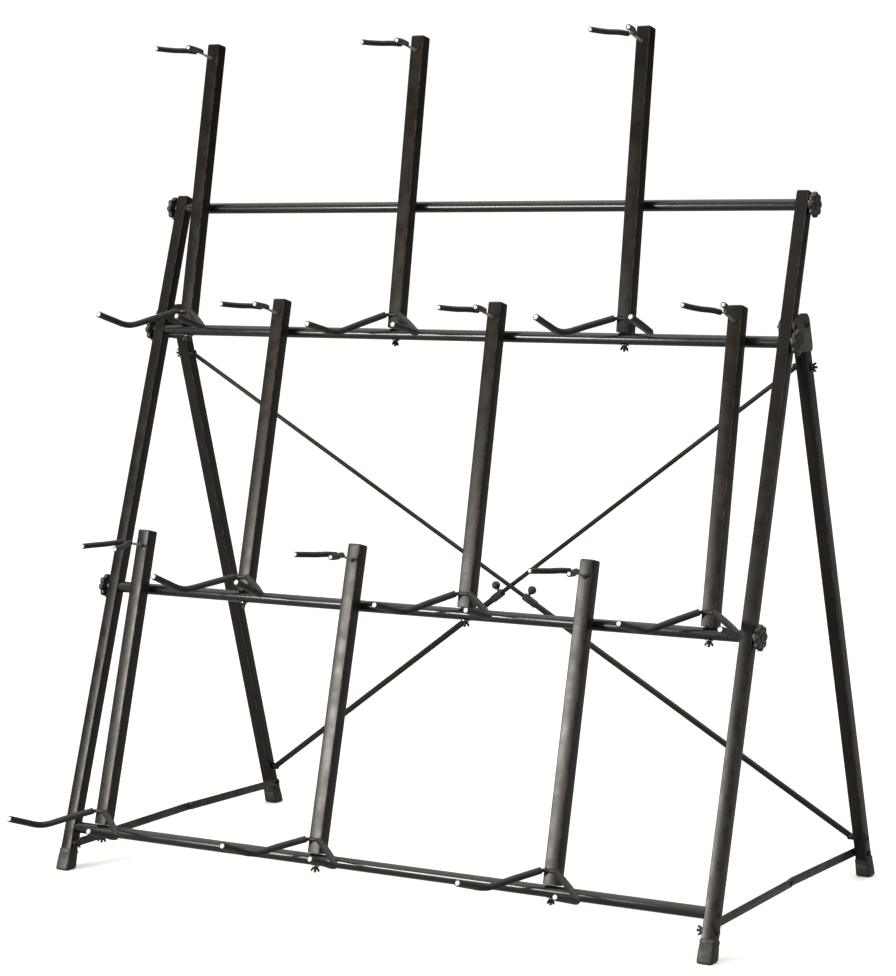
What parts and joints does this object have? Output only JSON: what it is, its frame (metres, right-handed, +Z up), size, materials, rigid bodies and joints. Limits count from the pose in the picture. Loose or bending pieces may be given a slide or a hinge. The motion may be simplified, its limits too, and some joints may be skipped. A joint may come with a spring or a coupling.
{
  "type": "guitar rack",
  "caption": "Floor-standing A-frame display rack with leaning tiers of guitar holders: padded neck yokes above padded body cradles, on crossbars between two folding side frames.",
  "frame": {"origin": "on the floor, midway between the side frames and at the middle of the rack's depth", "axes": "+Z up; +X along the crossbars to the right of someone facing the rack; the guitars face -Y"},
  "size_m": [1.6622, 1.0263, 1.878],
  "materials": {
    "painted_tube": "semi-gloss black powder coat",
    "gloss_bar": "gloss black",
    "brace_rod": "satin black",
    "flat_steel": "dark phosphated",
    "foam": "closed-cell foam sleeve",
    "rubber": "matt moulded",
    "knob_plastic": "moulded black"
  },
  "bodies": {
    "front_frame": {"post_left": "painted_tube", "boot_front_left": "rubber", "post_right": "painted_tube", "boot_front_right": "rubber", "bar_top": "gloss_bar", "bar_upper": "gloss_bar", "bar_lower": "gloss_bar", "bar_bottom": "gloss_bar", "upright_top_left": "painted_tube", "yoke_top_left": "foam", "cradle_top_left": "foam", "upright_top_centre": "painted_tube", "yoke_top_centre": "foam", "cradle_top_centre": "foam", "upright_top_right": "painted_tube", "yoke_top_right": "foam", "cradle_top_right": "foam", "upright_middle_left": "painted_tube", "yoke_middle_left": "foam", "cradle_middle_left": "foam", "upright_middle_centre": "painted_tube", "yoke_middle_centre": "foam", "cradle_middle_centre": "foam", "upright_middle_right": "painted_tube", "yoke_middle_right": "foam", "cradle_middle_right": "foam", "upright_low_left": "painted_tube", "yoke_low_left": "foam", "cradle_low_left": "foam", "upright_low_centre": "painted_tube", "yoke_low_centre": "foam", "cradle_low_centre": "foam", "upright_low_right": "painted_tube", "yoke_low_right": "foam", "cradle_low_right": "foam"},
    "rear_frame": {"rear_leg_left": "painted_tube", "boot_rear_left": "rubber", "rear_leg_right": "painted_tube", "boot_rear_right": "rubber", "brace_from_left": "brace_rod", "brace_from_right": "brace_rod"},
    "stay_front_left": {"stay_front_left": "flat_steel"},
    "stay_rear_left": {"stay_rear_left": "flat_steel"},
    "stay_front_right": {"stay_front_right": "flat_steel"},
    "stay_rear_right": {"stay_rear_right": "flat_steel"},
    "knob_top_left": {"knob_top_left": "knob_plastic"},
    "knob_top_right": {"knob_top_right": "knob_plastic"},
    "knob_upper_left": {"knob_upper_left": "knob_plastic"},
    "knob_upper_right": {"knob_upper_right": "knob_plastic"},
    "knob_lower_left": {"knob_lower_left": "knob_plastic"},
    "knob_lower_right": {"knob_lower_right": "knob_plastic"},
    "wing_nut_top_left": {"wing_nut_top_left": "knob_plastic"},
    "wing_nut_top_centre": {"wing_nut_top_centre": "knob_plastic"},
    "wing_nut_top_right": {"wing_nut_top_right": "knob_plastic"},
    "wing_nut_middle_left": {"wing_nut_middle_left": "knob_plastic"},
    "wing_nut_middle_centre": {"wing_nut_middle_centre": "knob_plastic"},
    "wing_nut_middle_right": {"wing_nut_middle_right": "knob_plastic"},
    "wing_nut_low_left": {"wing_nut_low_left": "knob_plastic"},
    "wing_nut_low_centre": {"wing_nut_low_centre": "knob_plastic"},
    "wing_nut_low_right": {"wing_nut_low_right": "knob_plastic"}
  },
  "joints": [
    {"name": "rear_fold", "type": "hinge", "parent": "front_frame", "child": "rear_frame", "pos_m": [0, 0.10136, 1.24], "axis": [-1, 0, 0], "range_deg": [0, 8.3]},
    {"name": "stay_front_left_pivot", "type": "hinge", "parent": "front_frame", "child": "stay_front_left", "pos_m": [-0.793, -0.32576, 0.05729], "axis": [1, 0, 0], "range_deg": [0, 30]},
    {"name": "stay_rear_left_pivot", "type": "hinge", "parent": "rear_frame", "child": "stay_rear_left", "pos_m": [-0.793, 0.47872, 0.054], "axis": [-1, 0, 0], "range_deg": [0, 37.2]},
    {"name": "stay_front_right_pivot", "type": "hinge", "parent": "front_frame", "child": "stay_front_right", "pos_m": [0.793, -0.32576, 0.05729], "axis": [1, 0, 0], "range_deg": [0, 30]},
    {"name": "stay_rear_right_pivot", "type": "hinge", "parent": "rear_frame", "child": "stay_rear_right", "pos_m": [0.793, 0.47872, 0.054], "axis": [-1, 0, 0], "range_deg": [0, 37.2]},
    {"name": "knob_top_left_turn", "type": "hinge", "parent": "front_frame", "child": "knob_top_left", "pos_m": [-0.815, 0.1203, 1.48943], "axis": [-1, 0, 0], "continuous": true},
    {"name": "knob_top_right_turn", "type": "hinge", "parent": "front_frame", "child": "knob_top_right", "pos_m": [0.815, 0.1203, 1.48943], "axis": [1, 0, 0], "continuous": true},
    {"name": "knob_upper_left_turn", "type": "hinge", "parent": "front_frame", "child": "knob_upper_left", "pos_m": [-0.815, 0.03169, 1.20491], "axis": [-1, 0, 0], "continuous": true},
    {"name": "knob_upper_right_turn", "type": "hinge", "parent": "front_frame", "child": "knob_upper_right", "pos_m": [0.815, 0.03169, 1.20491], "axis": [1, 0, 0], "continuous": true},
    {"name": "knob_lower_left_turn", "type": "hinge", "parent": "front_frame", "child": "knob_lower_left", "pos_m": [-0.815, -0.1512, 0.61773], "axis": [-1, 0, 0], "continuous": true},
    {"name": "knob_lower_right_turn", "type": "hinge", "parent": "front_frame", "child": "knob_lower_right", "pos_m": [0.815, -0.1512, 0.61773], "axis": [1, 0, 0], "continuous": true},
    {"name": "wing_nut_top_left_turn", "type": "hinge", "parent": "front_frame", "child": "wing_nut_top_left", "pos_m": [-0.719, 0.02854, 1.18739], "axis": [0, 0.1765, 0.9843], "continuous": true},
    {"name": "wing_nut_top_centre_turn", "type": "hinge", "parent": "front_frame", "child": "wing_nut_top_centre", "pos_m": [-0.148, 0.02854, 1.18739], "axis": [0, 0.1765, 0.9843], "continuous": true},
    {"name": "wing_nut_top_right_turn", "type": "hinge", "parent": "front_frame", "child": "wing_nut_top_right", "pos_m": [0.423, 0.02854, 1.18739], "axis": [0, 0.1765, 0.9843], "continuous": true},
    {"name": "wing_nut_middle_left_turn", "type": "hinge", "parent": "front_frame", "child": "wing_nut_middle_left", "pos_m": [-0.434, -0.15546, 0.60045], "axis": [0, 0.2394, 0.9709], "continuous": true},
    {"name": "wing_nut_middle_centre_turn", "type": "hinge", "parent": "front_frame", "child": "wing_nut_middle_centre", "pos_m": [0.137, -0.15546, 0.60045], "axis": [0, 0.2394, 0.9709], "continuous": true},
    {"name": "wing_nut_middle_right_turn", "type": "hinge", "parent": "front_frame", "child": "wing_nut_middle_right", "pos_m": [0.708, -0.15546, 0.60045], "axis": [0, 0.2394, 0.9709], "continuous": true},
    {"name": "wing_nut_low_left_turn", "type": "hinge", "parent": "front_frame", "child": "wing_nut_low_left", "pos_m": [-0.709, -0.31949, 0.07339], "axis": [0, 0.2327, 0.9725], "continuous": true},
    {"name": "wing_nut_low_centre_turn", "type": "hinge", "parent": "front_frame", "child": "wing_nut_low_centre", "pos_m": [-0.138, -0.31949, 0.07339], "axis": [0, 0.2327, 0.9725], "continuous": true},
    {"name": "wing_nut_low_right_turn", "type": "hinge", "parent": "front_frame", "child": "wing_nut_low_right", "pos_m": [0.433, -0.31949, 0.07339], "axis": [0, 0.2327, 0.9725], "continuous": true}
  ],
  "couplings": [
    {"joint": "stay_front_left_pivot", "follows": "rear_fold", "ratio": 3.6046},
    {"joint": "stay_rear_left_pivot", "follows": "rear_fold", "ratio": 4.4706},
    {"joint": "stay_front_right_pivot", "follows": "rear_fold", "ratio": 3.6046},
    {"joint": "stay_rear_right_pivot", "follows": "rear_fold", "ratio": 4.4706}
  ]
}
